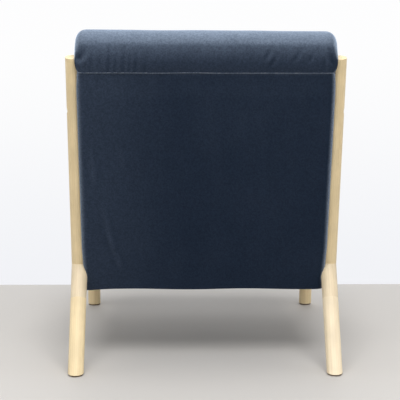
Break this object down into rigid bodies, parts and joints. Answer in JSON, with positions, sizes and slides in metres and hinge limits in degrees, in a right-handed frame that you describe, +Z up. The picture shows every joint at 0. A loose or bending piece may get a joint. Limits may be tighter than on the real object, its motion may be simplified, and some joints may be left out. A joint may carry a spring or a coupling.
{
  "type": "lounge armchair",
  "caption": "Fixed lounge armchair with round wooden side frames mitred at the knees, and a velvet seat, back and top roll slung between them.",
  "frame": {"origin": "on the floor, below the middle of the chair's bounding box", "axes": "+Z up, the sitter faces -Y, +X is the sitter's left"},
  "size_m": [0.7, 0.78, 0.8659],
  "materials": {
    "wood": "clear satin lacquer on pale wood",
    "pale_wood": "clear satin lacquer on paler wood",
    "inner_wood": "sawn softwood, unfinished",
    "velvet": "short pile velvet, dark slate blue",
    "webbing": "woven elastic webbing",
    "dust_cloth": "thin black non-woven cloth",
    "steel": "zinc-plated",
    "glide": "matte brown"
  },
  "bodies": {
    "root": {"arm_corner_left": "wood", "arm_corner_right": "wood", "armrest_left": "wood", "armrest_right": "wood", "back_bottom_rail": "inner_wood", "back_middle_rail": "inner_wood", "back_pad": "velvet", "back_post_left": "wood", "back_post_right": "wood", "back_side_panel_left": "velvet", "back_side_panel_right": "velvet", "back_stile_left": "inner_wood", "back_stile_right": "inner_wood", "back_top_rail": "inner_wood", "back_webbing": "webbing", "dust_cover": "dust_cloth", "foot_glides": "glide", "frame_bolts": "steel", "frame_dowels": "inner_wood", "front_leg_left": "wood", "front_leg_right": "wood", "insert_nuts": "steel", "knee_block_left": "pale_wood", "knee_block_right": "pale_wood", "outside_back": "velvet", "rear_leg_left": "wood", "rear_leg_right": "wood", "seat_corner_blocks": "inner_wood", "seat_front_border": "velvet", "seat_front_rail": "inner_wood", "seat_pad": "velvet", "seat_rear_rail": "inner_wood", "seat_side_border_left": "velvet", "seat_side_border_right": "velvet", "seat_side_rail_left": "inner_wood", "seat_side_rail_right": "inner_wood", "seat_webbing": "webbing", "side_rail_left": "wood", "side_rail_right": "wood", "top_roll": "velvet"}
  },
  "joints": []
}
